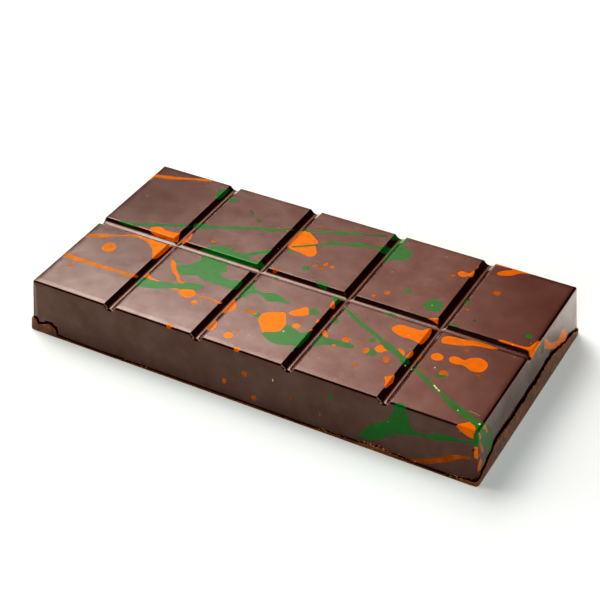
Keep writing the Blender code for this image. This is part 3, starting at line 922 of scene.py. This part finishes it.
# At the rim the amber shows through a thin edge and is partly a painted highlight of light caught along
# the rim.
RIM_EDGE_LIGHT_COVER = 0.55
MOST_WORN = 0.3
film_mesh = bmesh.new()
film_tone_and_edge_light_layer = film_mesh.verts.layers.float.new("cover")
film_chance = random.Random(5)


def film_section(x, y, crack, rim):
    """The film's section at a place of the border: how far it stands proud at each height."""
    thick = FILM_THICK + 0.10 * (wavy(x, y, 0.5, 21.0) + 0.6 * wavy(x, y, 1.9, 4.0))
    foot_proud = FOOT_PROUD + 0.04 * wavy(x, y, 0.6, 40.0)
    back = -CRACK_DEPTH * crack - FILM_ROOT
    # Up behind the rim and over it
    section = [(back, max(rim - 1.0 - crack, 0.35 * rim)), (-0.02, max(rim - 0.7, 0.5 * rim)),
               (FILM_GAP, rim - min(0.16, 0.3 * rim)), (FILM_GAP + 0.25 * thick, rim - 0.02),
               (FILM_GAP + 0.7 * thick, rim), (FILM_GAP + thick, rim - min(0.10, 0.1 * rim + 0.02))]
    # Down the uneven face
    for share in (0.93, 0.84, 0.75, 0.65, 0.55, 0.45, 0.35, 0.25, 0.16):
        bulge = 0.08 * wavy(x, y, 0.6, share * 5)
        bulge += 0.06 * wavy(x, y, 0.9, 33 + rim * share * 1.9)
        bulge += 0.03 * wavy(x, y, 2.3, 70 + rim * share * 2.3)
        belly = 0.06 + thick + (foot_proud - 0.02 - thick) * (1 - share)
        section.append((belly + bulge, rim * share + 0.1 * (1 - share)))
    # Out to the foot and in again under the bar
    section += [(foot_proud, min(0.3, 0.08 * rim + 0.08)), (foot_proud, 0.09)]
    return section + [(foot_proud - 0.07, 0.0), (back, 0.0)]


def film_tone_and_edge_light(along, height, rim):
    """How far the film hides its amber: low at the foot, a painted highlight of light caught on its lower
    edge; low at the thin rim, partly a painted highlight of light caught along it; uneven at random
    between them.
    """
    if height < 0.1:
        return along_sides(FOOT_EDGE_LIGHT_PLACES, along)
    if height > rim - 0.05 and rim > 1.0:
        return RIM_EDGE_LIGHT_COVER
    return 1.0 - MOST_WORN * film_chance.random() ** 3


rings = []
for along in even_places(FILM_STEP)[:-1]:
    x, y = border_point(along)
    crack = along_sides(CRACK_PLACES, along)
    rim = rim_height(along) + 0.35 * min(crack, 1.0) * wavy(x, y, 1.9, 51.0)
    ring = []
    for proud, height in film_section(x, y, crack, rim):
        place = wall_point(along, height, min(proud, MOST_PROUD + WALL_LEAN * height))
        ring.append(film_mesh.verts.new([value * MM for value in place]))
        ring[-1][film_tone_and_edge_light_layer] = film_tone_and_edge_light(along, height, rim)
    rings.append(ring)
for left, right in zip(rings, rings[1:] + rings[:1]):
    for k in range(len(left)):
        other = (k + 1) % len(left)
        film_mesh.faces.new((left[k], left[other], right[other], right[k])).smooth = True
bmesh.ops.recalc_face_normals(film_mesh, faces=film_mesh.faces)
# Amber under the film: uneven patches at random, and the painted highlight along its rim and foot.
AMBER_TONE_AND_EDGE_LIGHT = (0.46, 0.19, 0.05)
film_chocolate = cast_material(
    "film_chocolate", sheen=(1.0, 0.84, 0.80), specular=0.5, cover_over=AMBER_TONE_AND_EDGE_LIGHT,
    Colour=(0.024, 0.011, 0.009), Bloom=(0.075, 0.038, 0.027), Fleck=(0.38, 0.21, 0.11),
    Cloudiness=1.0, Fleckiness=0.5, Roughness=0.36, Grain=1.0)
film = make_piece("foot_film", film_mesh, [film_chocolate])
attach(film, "root")

# The crumbs. Light crumbs of broken chocolate, each under half a millimetre across, that came off when
# the bar was turned out and cling to the film's rim along the front and at one corner.
# A run is where it starts and ends round the bar, its count, and how far crumbs reach above the rim.
CRUMB_RUNS = [(37, 57, 90, 0.9), (-41, -29, 16, 0.5), (22, 37, 26, 0.5), (64, 72, 26, 0.7),
              (RIGHT_WALL - 16, RIGHT_WALL - 8, 12, 0.6)]
CRUMB_SIZES = (0.09, 0.19)
CRUMB_SINK = 1.35
chance = random.Random(11)
crumb_mesh = bmesh.new()
for start, end, count, reach in CRUMB_RUNS:
    for _ in range(count):
        along = chance.triangular(start, end, start + 0.35 * (end - start))
        size = chance.uniform(*CRUMB_SIZES)
        rim = rim_height(along)
        height = max(rim, 0.2) + size * chance.uniform(0.2, 1.0)
        height += reach * chance.random() ** 3
        proud = FOOT_PROUD + 0.07 * height - CRUMB_SINK * size - 0.25 * (height > rim + size)
        middle = Vector(wall_point(along, height, proud))
        made = bmesh.ops.create_icosphere(crumb_mesh, subdivisions=1, radius=1.0)["verts"]
        shape = Vector((chance.uniform(0.7, 1.4), chance.uniform(0.6, 0.9), chance.uniform(0.5, 1.0)))
        for vertex in made:
            jag = chance.uniform(0.75, 1.15)
            vertex.co = (middle + vertex.co * shape * jag * size) * MM
crumb_chocolate = cast_material(
    "crumb_chocolate", sheen=WARM_SHEEN, specular=0.4, Colour=(0.42, 0.22, 0.10),
    Bloom=(0.55, 0.36, 0.20), Fleck=(0.60, 0.42, 0.24), Cloudiness=0.6, Fleckiness=0.2,
    Roughness=0.6, Grain=1.0)
crumbs = make_piece("foot_crumbs", crumb_mesh, [crumb_chocolate])
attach(crumbs, "root")

# The camera: a long lens half a metre off, to the front right and looking down on the bar
camera_data = bpy.data.cameras.new("camera")
camera_data.lens = 93.34
camera_data.sensor_width = 36.0
camera = bpy.data.objects.new("camera", camera_data)
camera.matrix_world = Matrix(((0.87607, -0.28148, 0.39150, 0.183036),
                              (0.48203, 0.53191, -0.69622, -0.327560),
                              (-0.01227, 0.79865, 0.60168, 0.294449),
                              (0, 0, 0, 1)))
bpy.context.scene.collection.objects.link(camera)
bpy.context.scene.camera = camera

# The table and the studio: a white top, a dark room, and soft boxes round the bar
TABLE_SIZE = 6
bpy.ops.mesh.primitive_plane_add(size=TABLE_SIZE, location=(0, 0, 0))
floor = bpy.context.object
floor.name = "table"
floor_material = bpy.data.materials.new("white_table")
floor_material.use_nodes = True
floor_shader = floor_material.node_tree.nodes["Principled BSDF"]
floor_shader.inputs["Base Color"].default_value = (0.835, 0.85, 0.84, 1)
floor_shader.inputs["Roughness"].default_value = 0.6
floor.data.materials.append(floor_material)

world = bpy.data.worlds.new("studio")
bpy.context.scene.world = world
world.use_nodes = True
world.node_tree.nodes["Background"].inputs["Color"].default_value = (1, 1, 1, 1)
world.node_tree.nodes["Background"].inputs["Strength"].default_value = 0.0


def soft_box(name, azimuth, elevation, roll, wide, tall, radiance, colour):
    """A soft box a metre off, facing the bar; azimuth is turned from the back towards the left."""
    around = radians(azimuth)
    up = radians(elevation)
    place = Vector((-sin(around) * cos(up), cos(around) * cos(up), sin(up)))
    level = Vector((-cos(around), -sin(around), 0))
    raised = Vector((sin(around) * sin(up), -cos(around) * sin(up), cos(up)))
    side = level * cos(radians(roll)) + raised * sin(radians(roll))
    light = bpy.data.lights.new(name, "AREA")
    light.shape = "RECTANGLE"
    light.size = wide
    light.size_y = tall
    light.energy = radiance * pi * wide * tall
    light.color = colour
    lamp = bpy.data.objects.new(name, light)
    bpy.context.scene.collection.objects.link(lamp)
    turn = Matrix((side, place.cross(side), place)).transposed().to_4x4()
    lamp.matrix_world = Matrix.Translation(place) @ turn


WHITE = (1.0, 1.0, 1.0)
WARM = (1.19, 0.88, 0.84)
WARMER = (1.32, 0.82, 0.75)
COOL = (0.93, 1.03, 1.06)
soft_box("key", 60.7, 58, -60, 0.47, 0.78, 2.8, (1.04, 0.99, 0.95))
soft_box("key_core", 61, 63, 0, 0.30, 0.30, 4.4, WHITE)
soft_box("key_strip", 31, 38, 60, 1.20, 0.26, 1.05, WARM)
soft_box("key_low_corner", 38, 43, 15, 0.25, 0.20, 3.2, (1.06, 0.97, 0.94))
soft_box("key_low_left", 48, 40, 15, 0.22, 0.20, 3.3, (1.05, 0.97, 0.95))
soft_box("key_low_right", 24, 42, 0, 0.16, 0.16, 1.7, WARM)
soft_box("back_card", 14, 44, 0, 0.22, 0.40, 0.93, WARMER)
soft_box("back_left_low", 48, 10, 0, 0.60, 0.16, 5.2, WHITE)
soft_box("left_box", 85, 45, 0, 0.60, 0.60, 4.0, (1.08, 1.01, 0.91))
soft_box("left_low_card", 88, 17, 0, 0.60, 0.25, 1.0, (1.25, 0.85, 0.60))
soft_box("front_left_card", 115, 13, 0, 0.50, 0.25, 5.6, WHITE)
soft_box("front_card", 195, 36, 0, 0.40, 0.40, 6.4, COOL)
soft_box("right_low_card", 245, 14, 0, 0.50, 0.25, 3.0, COOL)
soft_box("right_fill", 270, 38, 0, 0.45, 1.20, 2.8, COOL)

# A pool of light on the table beyond the right end, mirrored in that end's far half
POOL_MIDDLE = Vector((0.115, 0.058, 0))
LAMP_OFFSET = Vector((0.12, 0.12, 0.45))
spot = bpy.data.lights.new("table_spot", "SPOT")
spot.energy = 12.5
spot.spot_size = 0.142
spot.spot_blend = 0.3
spot.shadow_soft_size = 0.01
spot_lamp = bpy.data.objects.new("table_spot", spot)
bpy.context.scene.collection.objects.link(spot_lamp)
spot_lamp.location = POOL_MIDDLE + LAMP_OFFSET
spot_lamp.rotation_euler = (POOL_MIDDLE - spot_lamp.location).to_track_quat("-Z", "Y").to_euler()

# The picture's own contrast: deep shadows are pressed down, most of all in blue
TOES = (0.06, 0.12, 0.18)
CURVE_LEVELS = (0.02, 0.05, 0.1, 0.2, 0.35, 0.6)
view = bpy.context.scene.view_settings
view.view_transform = "Standard"
view.use_curve_mapping = True
for curve, toe in zip(view.curve_mapping.curves, TOES):
    curve.points[0].location = (0, 0)
    curve.points[1].location = (1, 1)
    for level in CURVE_LEVELS:
        curve.points.new(level, level * level * (1 + toe) / (level + toe))
view.curve_mapping.update()
